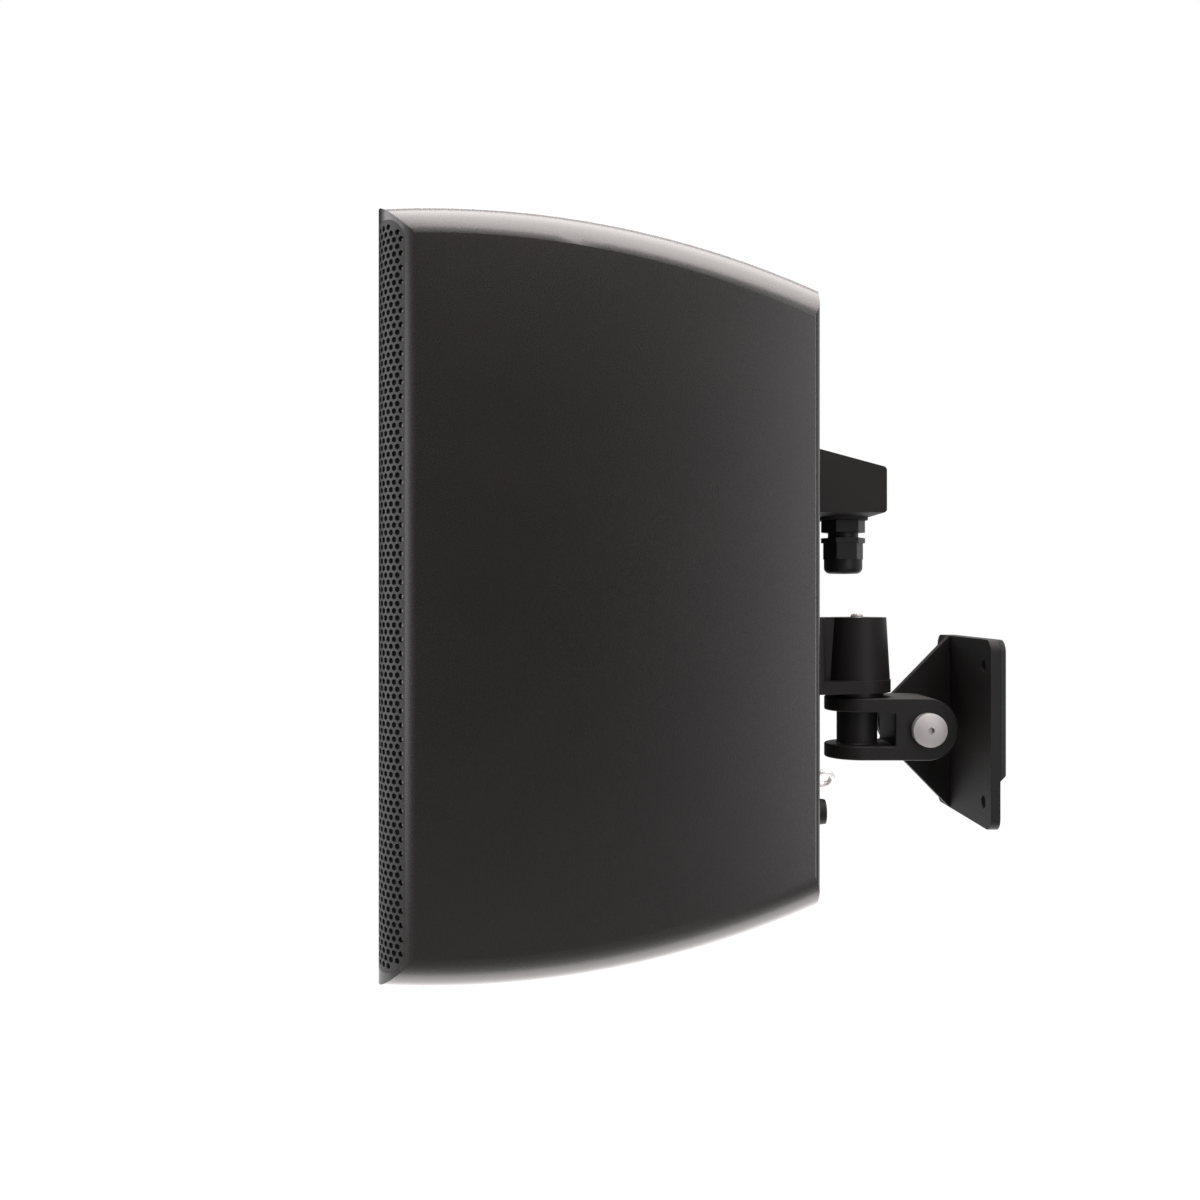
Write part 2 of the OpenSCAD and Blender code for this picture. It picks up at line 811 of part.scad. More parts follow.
module dust_cap() {
    mid = cap_seat + sqrt(cap_crown * cap_crown - cap_r * cap_r) - run;
    color([0.08, 0.08, 0.08]) on_baffle(0, woofer_z)
        rotate_extrude($fn = fine) intersection() {
            translate([0, mid]) difference() {
                circle(cap_crown, $fn = fine);
                circle(cap_crown - cone_t, $fn = fine);
            }
            translate([0, mid - cap_crown - over])
                square([cap_r, cap_seat - run - mid + cap_crown + over]);
        }
}

module voice_coil() {
    color("orange") on_baffle(0, woofer_z) rotate_extrude($fn = fine) {
        translate([coil_r, coil_d - 3]) square([former_t, 26]);
        translate([coil_r + former_t, coil_d + 13]) square([winding_t, 10]);
    }
}

module spider() {
    r0 = coil_r + former_t + gap;
    step = (shelf_r - r0) / 10;
    top = [for (i = [0 : 10]) [r0 + i * step, spider_d - 0.6 - (i % 2 == 0 ? 0 : 2)]];
    low = [for (i = [10 : -1 : 0]) [r0 + i * step, spider_d - (i % 2 == 0 ? 0 : 2)]];
    color("tan") on_baffle(0, woofer_z) rotate_extrude($fn = fine) polygon(concat(top, low));
}

module top_plate() {
    color(steel) on_baffle(0, woofer_z)
        ring_z(coil_r + former_t + winding_t + cone_play, shelf_r + 3, top_d, top_d + top_t);
}

module magnet() {
    color([0.17, 0.17, 0.18]) on_baffle(0, woofer_z)
        ring_z(coil_r + 10, magnet_r, top_d + top_t, top_d + top_t + magnet_t);
}

module yoke() {
    z = top_d + top_t + magnet_t;
    color(steel) on_baffle(0, woofer_z) difference() {
        union() {
            rod_z(magnet_r - 7, z, z + yoke_t);
            rod_z(pole_r, top_d - 1, z + over);
        }
        rod_z(5, top_d - 2, z + yoke_t + over);
    }
}

// Tweeter and ports

// Depth of the waveguide's throat behind the baffle's face, where the dome is clamped
throat_d = 16;
foil_t = 0.4;
motor_r = 34;
motor_neck = 4;
motor_t = 12;
motor_cap = 5;

// Flare of the waveguide from the throat to the mouth
function flare(t) = dome_r + 1 + (guide_r - 10 - dome_r - 1) * pow(t, 2.2);

module waveguide() {
    d = chassis_t + throat_d;
    n = 8;
    inner = [for (i = [0 : n]) [flare(1 - i / n), -chassis_t + i / n * d]];
    outer = [for (i = [n : -1 : 2]) [flare(1 - i / n) + 3, -chassis_t + i / n * d]];
    color([0.1, 0.1, 0.1]) on_baffle(0, tweeter_z) difference() {
        rotate_extrude($fn = fine) polygon(concat(inner, outer,
            [[guide_r - 9.5, 3], [guide_r - 9.5, 0], [guide_r, 0], [guide_r, -chassis_t]]));
        for (i = [0 : 3]) rotate([0, 0, (i + 0.5) * 90]) translate([guide_r - 4.5, 0, 0])
            rod_z(screw_r + slip, -chassis_t - over, over, 24);
    }
}

module tweeter_dome() {
    color([0.45, 0.45, 0.47]) on_baffle(0, tweeter_z) rotate_extrude($fn = fine) {
        intersection() {
            translate([0, throat_d + 5]) difference() {
                circle(dome_r + 1, $fn = fine);
                circle(dome_r + 1 - foil_t, $fn = fine);
            }
            square([dome_r, throat_d + foil_t]);
        }
        translate([dome_r - 1.2, throat_d]) square([4.2, foil_t]);
    }
}

module tweeter_motor() {
    color([0.17, 0.17, 0.18]) on_baffle(0, tweeter_z) {
        rod_z(motor_r - 8, throat_d + foil_t, throat_d + motor_neck);
        rod_z(motor_r, throat_d + motor_neck, throat_d + motor_neck + motor_t);
        rod_z(motor_r - 4, throat_d + motor_neck + motor_t, throat_d + motor_neck + motor_t + motor_cap);
    }
}

module tweeter_screws() {
    color(steel) driver_screws(guide_r - 4.5, 4, tweeter_z) translate([0, 0, -chassis_t])
        rotate([90, 0, 0]) pan_screw(screw_r - slip, small_head_r, head_t, 14);
}

module port_tubes() {
    color(black) for (s = [-1, 1]) on_baffle(s * port_x, port_z) {
        ring_z(port_r, port_r + 3 - slip, -1, port_l);
        ring_z(port_r, port_r + 6, -2.5, 0);
    }
}

// Electronics inside the cabinet

board_y = inner_back - 12;
board_t = 1.6;
board_clear = 15;
back_top = lift + hh - arch_r + sqrt(pow(arch_r, 2) - pow(board_y - crest_y, 2));
board_z = back_top - wall - board_clear - board_h / 2;
coil_out_r = 16;
coil_in_r = 7;
coil_t = 20;
coil_x = 42;
coil_step = 38;
capacitor_r = 7;
capacitor_l = 30;
capacitor_x = 28;
capacitor_step = 19;

module board_posts() {
    color(black) for (x = [-1, 1], z = [-1, 1])
        translate([x * (board_w / 2 - 6), 0, board_z + z * (board_h / 2 - 6)])
            rod_y(3.5, board_y, inner_back, 32);
}

module crossover_board() {
    color("darkgreen") translate([-board_w / 2, board_y - board_t, board_z - board_h / 2])
        cube([board_w, board_t, board_h]);
}

module crossover_coils() {
    y = board_y - board_t;
    color([0.7, 0.4, 0.2]) for (i = [0, 1]) translate([i * coil_step - coil_x, y, board_z - 6]) difference() {
        rod_y(coil_out_r, -coil_t, 0);
        rod_y(coil_in_r, -coil_t - over, over);
    }
}

module crossover_capacitors() {
    y = board_y - board_t;
    color([0.25, 0.3, 0.5]) for (i = [-1 : 1])
        translate([capacitor_x, y - capacitor_r - run, board_z - 1 + i * capacitor_step])
            rod_x(capacitor_r, 0, capacitor_l);
}

module transformer_core() {
    d = core_w * 0.5;
    color([0.35, 0.35, 0.37]) translate([0, inner_back - d, core_z]) difference() {
        translate([-core_w / 2, 0, -core_w * 0.42]) cube([core_w, d, core_w * 0.84]);
        for (s = [-1, 1]) translate([s * core_w * 0.25 - core_w / 12, -over, -core_w / 4])
            cube([core_w / 6, d + 2 * over, core_w / 2]);
    }
}

module transformer_winding() {
    d = core_w * 0.5;
    leg = core_w / 6;
    color([0.6, 0.5, 0.2]) for (s = [-1, 1])
        translate([s * core_w * 0.25 - leg / 2 + slip, inner_back - d - 6, core_z - core_w / 4 + slip])
            cube([leg - 2 * slip, d + 6 - gap, core_w / 2 - 2 * slip]);
}

// Power tap switch

module tap_switch() {
    color(plastic) translate([knob_x, 0, -knob_drop]) difference() {
        union() {
            rod_y(switch_r, inner_back - switch_l, inner_back);
            rod_y(bush_r, inner_back - over, back_y + bush_out, 48);
        }
        rod_y(m6_r + run, inner_back - shaft_in - 2, back_y + bush_out + over, 48);
    }
}

module tap_shaft() {
    color(steel) translate([knob_x, 0, -knob_drop]) rod_y(m6_r, inner_back - shaft_in, back_y + shaft_out, 48);
}

module tap_knob() {
    y = back_y + bush_out + gap;
    color(plastic) translate([knob_x, 0, -knob_drop]) difference() {
        translate([0, y, 0]) rotate([-90, 0, 0])
            cylinder(h = knob_l, r1 = knob_r, r2 = knob_r - 1, $fn = fine);
        rod_y(m6_r, y - over, back_y + shaft_out, 48);
        translate([-0.8, y + knob_l - 1.2, 1.5]) cube([1.6, 3, knob_r]);
        for (i = [0 : 11]) rotate([0, i * 30 + 15, 0]) translate([knob_r + 0.6, 0, 0])
            rod_y(1.1, y + 2.5, y + knob_l + over, 16);
    }
}

// Terminal cover

module cover_side(inset, front) {
    fall = cover_slope / cover_d;
    rear = cover_back - inset;
    low = cover_z + inset;
    high = cover_top - inset * norm([1, fall]);
    c = inset > 0 ? 0.1 : cover_chamfer;
    polygon([[back_y - front, low], [rear - c, low], [rear, low + c],
        [rear, high - fall * (rear - back_y) - c], [rear - c, high - fall * (rear - c - back_y)],
        [back_y, high], [back_y - front, high]]);
}

module cover_gasket() {
    color("dimgray") difference() {
        along_y(back_y, back_y + 1) translate([0, cover_z + cover_h / 2])
            round_rect(cover_w, cover_h, 2);
        along_y(back_y - over, back_y + 2) translate([0, cover_z + cover_h / 2])
            round_rect(cover_w - 2 * cover_t, cover_h - 2 * cover_t, 2);
    }
}

module terminal_cover() {
    w = cover_w / 2;
    color(black) difference() {
        union() {
            difference() {
                along_x(-w, w) cover_side(0, 0);
                along_x(-w + cover_t, w - cover_t) cover_side(cover_t, over);
            }
            screw_places_cover() rod_y(4.5, back_y + 1, cover_back - cover_t / 2, 32);
        }
        translate([-w - over, back_y - over, cover_z - over]) cube([cover_w + 2, over + 1, cover_h + 2]);
        screw_places_cover() rod_y(screw_r, back_y - over, cover_back + over, 24);
        screw_places_cover() rod_y(head_r + slip, cover_back - head_t, cover_back + over, 32);
        translate([0, gland_y, 0]) rod_z(thread_r + slip, cover_z - over, cover_z + cover_t + over);
    }
}

module cover_screws() {
    color(steel) screw_places_cover() translate([0, cover_back - head_t, 0])
        mirror([0, 1, 0]) pan_screw(screw_r - slip, head_r, head_t - 0.3, cover_d - head_t + 3);
}

module terminal_block() {
    z = cover_z + 16;
    color([0.85, 0.85, 0.82]) difference() {
        translate([-22, back_y, z]) cube([44, 14, 16]);
        for (i = [-1.5 : 1 : 1.5]) translate([i * 10, 0, 0]) {
            translate([0, back_y + 7, 0]) rod_z(2, z - over, z + 10, 24);
            translate([0, 0, z + 8]) rod_y(2.4, back_y + 9.6, back_y + 14 + over, 24);
        }
    }
}

// Cable gland

module gland_seal() {
    color("dimgray") translate([0, gland_y, 0])
        ring_z(thread_r + slip, gland_hex_r + 1.4, gland_top, cover_z);
}

module gland_body() {
    color(plastic) translate([0, gland_y, 0]) difference() {
        union() {
            rod_z(thread_r, gland_top - eps, cover_z + cover_t + 8);
            rotate([0, 0, 30]) rod_z(gland_hex_r, gland_top - hex_h, gland_top, 6);
            rod_z(neck_r, nut_end + 5, gland_top - hex_h + eps);
        }
        rod_z(cable_r + 1.5, nut_end, cover_z + cover_t + 9);
        rod_z(neck_r - 1.6, nut_end, nut_top - 4);
    }
}

module gland_locknut() {
    color(plastic) translate([0, gland_y, 0]) difference() {
        rod_z(gland_hex_r, cover_z + cover_t, cover_z + cover_t + 5, 6);
        rod_z(thread_r + slip, cover_z, cover_z + 10);
    }
}

module gland_insert() {
    color("black") translate([0, gland_y, 0])
        ring_z(cable_r, neck_r - 1.7, nut_end + 3, nut_top - 4);
}

module gland_nut() {
    color(plastic) translate([0, gland_y, 0]) difference() {
        union() {
            rotate([0, 0, 30]) rod_z(gland_hex_r, nut_top - nut_flange_h, nut_top, 6);
            rotate([0, 0, 30]) rod_z(nut_hex_r, nut_end + dome_h, nut_top - over, 6);
            translate([0, 0, nut_end]) rotate_extrude($fn = fine) {
                square([gland_dome_r - dome_edge_r, dome_h]);
                translate([0, dome_edge_r]) square([gland_dome_r, dome_h - dome_edge_r]);
                translate([gland_dome_r - dome_edge_r, dome_edge_r]) circle(dome_edge_r, $fn = 48);
            }
        }
        rod_z(neck_r + slip, nut_end + 3, nut_top + over);
        rod_z(cable_r + 1.5, nut_end - over, nut_top);
    }
}

wall_bracket();
wall_pad();
tilt_bolt();
tilt_washer();
tilt_nut();
link_arm();
thrust_washer();
pan_bolt();
pan_washer();
pan_nut();
pan_housing();
housing_screws();
housing_inserts();
cabinet();
baffle_seal();
front_baffle();
baffle_screws();
grille();
grille_cloth();
woofer_gasket();
woofer_basket();
woofer_screws();
woofer_surround();
woofer_cone();
dust_cap();
voice_coil();
spider();
top_plate();
magnet();
yoke();
waveguide();
tweeter_dome();
tweeter_motor();
tweeter_screws();
port_tubes();
crossover_board();
board_posts();
crossover_coils();
crossover_capacitors();
transformer_core();
transformer_winding();
cover_gasket();
terminal_cover();
cover_screws();
terminal_block();
gland_seal();
gland_body();
gland_locknut();
gland_insert();
gland_nut();
tap_switch();
tap_shaft();
tap_knob();
safety_eye();
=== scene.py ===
"""Looks of the wall speaker: camera, studio, materials, rounded edges and the fine grille sheet."""

import json
import math

import bpy
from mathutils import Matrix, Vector
from mathutils.geometry import delaunay_2d_cdt


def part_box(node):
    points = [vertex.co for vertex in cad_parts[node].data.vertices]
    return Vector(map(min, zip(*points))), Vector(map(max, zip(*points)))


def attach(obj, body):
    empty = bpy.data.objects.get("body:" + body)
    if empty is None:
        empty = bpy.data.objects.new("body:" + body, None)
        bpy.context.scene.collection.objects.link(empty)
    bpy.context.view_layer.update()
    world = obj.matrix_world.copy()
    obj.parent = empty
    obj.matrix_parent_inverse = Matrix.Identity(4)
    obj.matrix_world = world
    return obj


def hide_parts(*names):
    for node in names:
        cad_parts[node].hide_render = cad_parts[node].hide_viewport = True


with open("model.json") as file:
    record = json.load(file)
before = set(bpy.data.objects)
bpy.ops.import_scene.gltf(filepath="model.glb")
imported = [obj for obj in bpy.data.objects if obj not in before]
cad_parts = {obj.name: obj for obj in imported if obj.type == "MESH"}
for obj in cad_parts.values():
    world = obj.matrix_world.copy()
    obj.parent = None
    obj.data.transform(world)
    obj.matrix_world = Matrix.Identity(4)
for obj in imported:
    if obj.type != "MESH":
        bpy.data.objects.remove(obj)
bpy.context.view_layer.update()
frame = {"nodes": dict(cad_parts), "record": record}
nodes = frame["nodes"]

MM = 0.001

# Camera, worked out from the photograph's perspective

PHOTO_SIDE = 1200
FOCAL_PIXELS = 1150
HORIZON_ROW = 596.5
CAMERA_PLACE = Vector((750, -245.5, 84.4)) * MM
SENSOR_WIDTH = 36
NEAREST_SEEN = 10 * MM
FARTHEST_SEEN = 100

scene = bpy.context.scene
camera_data = bpy.data.cameras.new("camera")
camera = bpy.data.objects.new("camera", camera_data)
scene.collection.objects.link(camera)
camera.location = CAMERA_PLACE
camera.rotation_euler = (math.radians(90), 0, math.radians(90))
camera_data.sensor_width = SENSOR_WIDTH
camera_data.lens = SENSOR_WIDTH * FOCAL_PIXELS / PHOTO_SIDE
camera_data.shift_y = (HORIZON_ROW - PHOTO_SIDE / 2) / PHOTO_SIDE
camera_data.clip_start = NEAREST_SEEN
camera_data.clip_end = FARTHEST_SEEN
scene.camera = camera


# Node helpers


class Graph:
    """A material's node tree, with short calls for the nodes used here."""

    def __init__(self, name):
        self.material = bpy.data.materials.new(name)
        self.material.use_nodes = True
        self.tree = self.material.node_tree
        self.tree.nodes.clear()

    def node(self, kind, **settings):
        made = self.tree.nodes.new(kind)
        for key, value in settings.items():
            setattr(made, key, value)
        return made

    def join(self, source, target):
        self.tree.links.new(source, target)

    def place(self):
        return self.node("ShaderNodeTexCoord").outputs["Object"]

    def noise(self, size, detail=3.0, stretch=(1, 1, 1)):
        """Soft noise whose features are about size metres across."""
        mapping = self.node("ShaderNodeMapping")
        mapping.inputs["Scale"].default_value = stretch
        self.join(self.place(), mapping.inputs["Vector"])
        made = self.node("ShaderNodeTexNoise")
        made.inputs["Scale"].default_value = 1 / size
        made.inputs["Detail"].default_value = detail
        self.join(mapping.outputs["Vector"], made.inputs["Vector"])
        return made.outputs["Fac"]

    def span(self, value, low, high, start=0.3, end=0.7):
        """Maps value from start..end to low..high."""
        made = self.node("ShaderNodeMapRange")
        for key, number in zip(("From Min", "From Max", "To Min", "To Max"), (start, end, low, high)):
            made.inputs[key].default_value = number
        self.join(value, made.inputs["Value"])
        return made.outputs["Result"]

    def mix(self, factor, dark, light):
        """Mixes two colours, each a tuple or a socket."""
        made = self.node("ShaderNodeMix", data_type="RGBA")
        self.join(factor, made.inputs[0])
        for socket, colour in ((made.inputs[6], dark), (made.inputs[7], light)):
            if isinstance(colour, tuple):
                socket.default_value = (*colour, 1)
            else:
                self.join(colour, socket)
        return made.outputs[2]

    def bump(self, height, depth, under=None):
        """Bumps the surface by about depth metres."""
        made = self.node("ShaderNodeBump")
        made.inputs["Strength"].default_value = 1
        made.inputs["Distance"].default_value = depth
        self.join(height, made.inputs["Height"])
        if under is not None:
            self.join(under, made.inputs["Normal"])
        return made.outputs["Normal"]

    def shade(self, colour, roughness, normal, metallic=0.0, gloss=0.5):
        """Ends the tree in one principled shader. gloss is its specular level."""
        shader = self.node("ShaderNodeBsdfPrincipled")
        shader.inputs["Metallic"].default_value = metallic
        shader.inputs["Specular IOR Level"].default_value = gloss
        self.join(colour, shader.inputs["Base Color"])
        self.join(roughness, shader.inputs["Roughness"])
        if normal is not None:
            self.join(normal, shader.inputs["Normal"])
        output = self.node("ShaderNodeOutputMaterial")
        self.join(shader.outputs["BSDF"], output.inputs["Surface"])
        return self.material


# Materials

MOTTLE_SIZE = 45 * MM
WORN_POINTINESS = (0.52, 0.62)
WORN_LIFT = 2.2
ROUGH_SPREAD = (0.9, 1.12)
CLOTH_MOTTLE_SIZE = 20 * MM
CLOTH_ROUGH_SPREAD = (0.92, 1.05)
# Colour factors for the weave's gaps and thread tops: painted shade and painted highlight
THREAD_PAINTED_SHADE_AND_HIGHLIGHT = (0.6, 1.5)
THREAD_UNEVEN = 0.6
WAVE_RADIANS = 20  # the wave texture's turn for each metre at a scale of 1


def scaled(colour, factor):
    return tuple(min(part * factor, 1) for part in colour)


def surface(name, colour, rough, grain, depth, metallic=0.0, gloss=0.5, mottle=0.12, wear=0.25,
            stretch=(1, 1, 1)):
    """A moulded, cast or painted surface: mottled colour, edge wear, uneven gloss and fine grain."""
    graph = Graph(name)
    broad = graph.noise(MOTTLE_SIZE, stretch=stretch)
    fine = graph.noise(grain, detail=2, stretch=stretch)
    mottled = graph.mix(graph.span(broad, 0, 1), scaled(colour, 1 - mottle), scaled(colour, 1 + mottle))
    pointed = graph.node("ShaderNodeNewGeometry").outputs["Pointiness"]
    edges = graph.span(pointed, 0, wear, *WORN_POINTINESS)
    worn = graph.mix(edges, mottled, scaled(colour, WORN_LIFT))
    roughness = graph.span(fine, *(rough * part for part in ROUGH_SPREAD))
    return graph.shade(worn, roughness, graph.bump(fine, depth), metallic, gloss)


def woven(name, colour, thread, depth, rough=0.9):
    """Cloth with a plain weave whose threads are thread metres apart, with painted shade in the gaps and
    painted highlight on the thread tops.
    """
    graph = Graph(name)
    heights = []
    for axis in ("X", "Z"):
        wave = graph.node("ShaderNodeTexWave", bands_direction=axis)
        wave.inputs["Scale"].default_value = math.tau / WAVE_RADIANS / thread
        wave.inputs["Distortion"].default_value = THREAD_UNEVEN
        graph.join(graph.place(), wave.inputs["Vector"])
        heights.append(wave.outputs["Fac"])
    weave = graph.node("ShaderNodeMath", operation="MULTIPLY")
    for height, socket in zip(heights, weave.inputs):
        graph.join(height, socket)
    # Painted shade and highlight: the weave's gaps are darkened and its thread tops lightened, on top of
    # the bump
    painted_weave_light = graph.mix(weave.outputs[0], *(scaled(colour, shade) for shade in THREAD_PAINTED_SHADE_AND_HIGHLIGHT))
    roughness = graph.span(graph.noise(CLOTH_MOTTLE_SIZE), *(rough * part for part in CLOTH_ROUGH_SPREAD))
    return graph.shade(painted_weave_light, roughness, graph.bump(weave.outputs[0], depth), gloss=0.2)


# Each surface's colour, roughness, its grain's size and depth in mm, and what else differs
SURFACES = {
    "cabinet_black": ((0.0086, 0.0062, 0.0060), 0.28, 0.5, 0.010, {"gloss": 1.0}),
    "baffle_black": ((0.012, 0.012, 0.012), 0.5, 0.5, 0.012, {}),
    "cast_black": ((0.008, 0.0072, 0.007), 0.52, 0.7, 0.02, {"gloss": 0.22}),
    "cover_black": ((0.010, 0.0085, 0.0080), 0.55, 0.5, 0.015, {"gloss": 0.2}),
    "nylon_black": ((0.007, 0.0076, 0.0073), 0.45, 0.8, 0.008, {"gloss": 0.25}),
    "grille_steel": ((0.014, 0.0136, 0.0133), 0.5, 0.4, 0.01, {"gloss": 0.4}),
    "seal_rubber": ((0.018, 0.018, 0.018), 0.75, 0.6, 0.02, {"gloss": 0.3}),
    "zinc_steel": ((0.43, 0.417, 0.412), 0.6, 0.35, 0.004, {"metallic": 0.8, "mottle": 0.06, "wear": 0.1}),
    "bright_steel": ((0.88, 0.86, 0.85), 0.5, 0.35, 0.004, {"metallic": 0.5, "mottle": 0.06, "wear": 0.1}),
    "brass": ((0.72, 0.52, 0.24), 0.3, 0.4, 0.004, {"metallic": 1.0}),
    "cone_plastic": ((0.03, 0.03, 0.03), 0.42, 1.2, 0.02, {}),
    "dark_steel": ((0.05, 0.05, 0.053), 0.45, 0.6, 0.015, {}),
    "ferrite": ((0.045, 0.045, 0.05), 0.6, 0.5, 0.02, {}),
    "winding": ((0.5, 0.2, 0.07), 0.3, 0.5, 0.06, {"metallic": 0.4, "stretch": (0.05, 1, 1)}),
    "dome_metal": ((0.55, 0.55, 0.57), 0.32, 0.3, 0.003, {"metallic": 1.0}),
    "board": ((0.02, 0.10, 0.05), 0.35, 1.5, 0.01, {}),
    "capacitor_film": ((0.07, 0.08, 0.22), 0.3, 1.0, 0.006, {}),
}
MATERIALS = {}
for name, (colour, rough, grain, depth, extra) in SURFACES.items():
    MATERIALS[name] = surface(name, colour, rough, grain * MM, depth * MM, **extra)
MATERIALS["cloth"] = woven("cloth", (0.008, 0.008, 0.008), 0.7 * MM, 0.08 * MM)

OWN_MATERIALS = {"terminal_cover": "cover_black", "tap_knob": "cover_black", "safety_eye": "bright_steel"}
slot_of = {part["node"]: part["material_slot"] for part in frame["record"]["subparts"]}
for name, node in nodes.items():
    node.data.materials.clear()
    node.data.materials.append(MATERIALS[OWN_MATERIALS.get(name, slot_of[name])])


# Rounded edges on the castings and mouldings

EDGE_RADII = {
    "wall_bracket": 1.0, "link_arm": 1.6, "pan_housing": 1.0, "terminal_cover": 0.9,
    "gland_body": 0.5, "gland_nut": 0.5, "tap_knob": 0.5, "wall_pad": 0.5,
}
WELD_GAP = 0.002 * MM
FLAT_ANGLE = math.radians(0.5)
SHARP_ANGLE = math.radians(35)
ROUND_STEPS = 3


def round_edges(node, radius):
    """Rounds a CAD node's sharp edges with modifiers, so that they catch the light."""
    weld = node.modifiers.new("weld", "WELD")
    weld.merge_threshold = WELD_GAP
    flatten = node.modifiers.new("flatten", "DECIMATE")
    flatten.decimate_type = "DISSOLVE"
    flatten.angle_limit = FLAT_ANGLE
    bevel = node.modifiers.new("bevel", "BEVEL")
    bevel.width = radius
    bevel.segments = ROUND_STEPS
    bevel.limit_method = "ANGLE"
    bevel.angle_limit = SHARP_ANGLE
    bevel.use_clamp_overlap = True
    bevel.miter_outer = "MITER_ARC"
    node.data.shade_smooth()
    node.modifiers.new("normals", "WEIGHTED_NORMAL").keep_sharp = True


for name, radius in EDGE_RADII.items():
    round_edges(nodes[name], radius * MM)


# The grille's perforated sheet: drawn flat, with s along the sheet, then bent round the corners

SHEET = 1.2 * MM
FRONT_R = 24 * MM
CORNER_R = 13 * MM
HOLE_PITCH = 4.5 * MM
HOLE_FLATS = 3.0 * MM
HOLE_MARGIN = 0.5 * MM
HOLE_ROW = HOLE_PITCH * math.sqrt(3) / 2
HOLE_CORNER = HOLE_FLATS / math.sqrt(3)
OUTLINE_STEP = 2 * MM
END_CROWDING = 1.5
MERGE_GAP = 1e-7
CREASE_ANGLE = math.radians(40)

grille_low, grille_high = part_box("grille")
front_y, side_y = grille_low.y, grille_high.y
mid_z = (grille_low.z + grille_high.z) / 2
half_z = (grille_high.z - grille_low.z) / 2
bend_y = front_y + FRONT_R
edge_angle = math.acos((bend_y - side_y) / FRONT_R)
flat_half = grille_high.x - FRONT_R * math.sin(edge_angle)
edge_s = flat_half + FRONT_R * edge_angle


def sheet_y(s):
    return bend_y - FRONT_R * math.cos(max(abs(s) - flat_half, 0) / FRONT_R)


def sheet_point(s, z, depth):
    """Place of a point of the flat drawing on the bent sheet, depth metres under its outer face."""
    angle = max(abs(s) - flat_half, 0) / FRONT_R
    radius = FRONT_R - depth
    side = math.copysign(1, s)
    x = side * (min(abs(s), flat_half) + radius * math.sin(angle))
    return Vector((x, bend_y - radius * math.cos(angle), mid_z + z))


def sheet_top(s):
    """Half height of the sheet at s: its rear corners are round, seen from the side."""
    past = max(sheet_y(s) - (side_y - CORNER_R), 0)
    return half_z - CORNER_R + math.sqrt(max(CORNER_R ** 2 - past ** 2, 0))


def sheet_outline():
    """Half of the outline, from the bottom round the right side to the top, and its mirror image."""
    steps = round(edge_s / OUTLINE_STEP)
    tops = [edge_s * (1 - (1 - i / steps) ** END_CROWDING) for i in range(steps)]
    rise = [(s, sheet_top(s)) for s in tops]
    corner_z = half_z - CORNER_R
    sides = round(2 * corner_z / OUTLINE_STEP)
    side = [(edge_s, corner_z * (1 - 2 * i / sides)) for i in range(sides + 1)]
    right = rise + side + [(s, -z) for s, z in reversed(rise)]
    left = [(-s, z) for s, z in reversed(right) if s > 0]
    return right + left


def hole_places():
    """Centres of the holes: rows a row apart, each odd row set over by half a pitch."""
    reach = HOLE_CORNER + HOLE_MARGIN
    rows = int(half_z / HOLE_ROW)
    for j in range(-rows, rows + 1):
        shift = (j % 2) * HOLE_PITCH / 2
        count = int(edge_s / HOLE_PITCH) + 1
        for i in range(-count, count + 1):
            s, z = i * HOLE_PITCH + shift, j * HOLE_ROW
            if abs(s) + HOLE_FLATS / 2 + HOLE_MARGIN > edge_s:
                continue
            if abs(z) + reach <= sheet_top(abs(s) + HOLE_FLATS / 2):
                yield s, z


def bent_sheet(name, body):
    """The whole sheet as one closed mesh."""
    points, edges = [], []

    def add_loop(loop):
        first = len(points)
        points.extend(loop)
        edges.extend((first + i, first + (i + 1) % len(loop)) for i in range(len(loop)))

    turns = [math.radians(30 + 60 * i) for i in range(6)]
    add_loop(sheet_outline())
    centres = list(hole_places())
    for s, z in centres:
        add_loop([(s + HOLE_CORNER * math.cos(a), z + HOLE_CORNER * math.sin(a)) for a in turns])
    flat, _, faces, *_ = delaunay_2d_cdt([Vector(p) for p in points], edges, [], 1, MERGE_GAP, False)
    holes = {(round(2 * s / HOLE_PITCH), round(z / HOLE_ROW)) for s, z in centres}

    def in_hole(face):
        s = sum(flat[i].x for i in face) / 3
        z = sum(flat[i].y for i in face) / 3
        j = round(z / HOLE_ROW)
        for near in (j - 1, j, j + 1):
            shift = near % 2
            i = 2 * round((2 * s / HOLE_PITCH - shift) / 2) + shift
            gap = math.hypot(s - i * HOLE_PITCH / 2, z - near * HOLE_ROW)
            if (i, near) in holes and gap < HOLE_FLATS / 2:
                return True
        return False

    kept = [tuple(face) for face in faces if not in_hole(face)]
    count = len(flat)
    verts = [sheet_point(p.x, p.y, 0) for p in flat] + [sheet_point(p.x, p.y, SHEET) for p in flat]
    rims = {}
    for a, b, c in kept:
        for pair in ((a, b), (b, c), (c, a)):
            if rims.pop((pair[1], pair[0]), None) is None:
                rims[pair] = True
    quads = [(b, a, a + count, b + count) for a, b in rims]
    backs = [(c + count, b + count, a + count) for a, b, c in kept]
    mesh = bpy.data.meshes.new(name)
    mesh.from_pydata(verts, [], kept + backs + quads)
    mesh.validate()
    mesh.shade_smooth()
    mesh.set_sharp_from_angle(angle=CREASE_ANGLE)
    sheet = bpy.data.objects.new(name, mesh)
    scene.collection.objects.link(sheet)
    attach(sheet, body)
    return sheet


grille_sheet = bent_sheet("grille_sheet", "speaker")
grille_sheet.data.materials.append(MATERIALS["grille_steel"])
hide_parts("grille")


# Studio: a pale floor far below with a painted glow that shows in reflections, soft lamps, and a room
# that is white for the camera and dim on one side in reflections

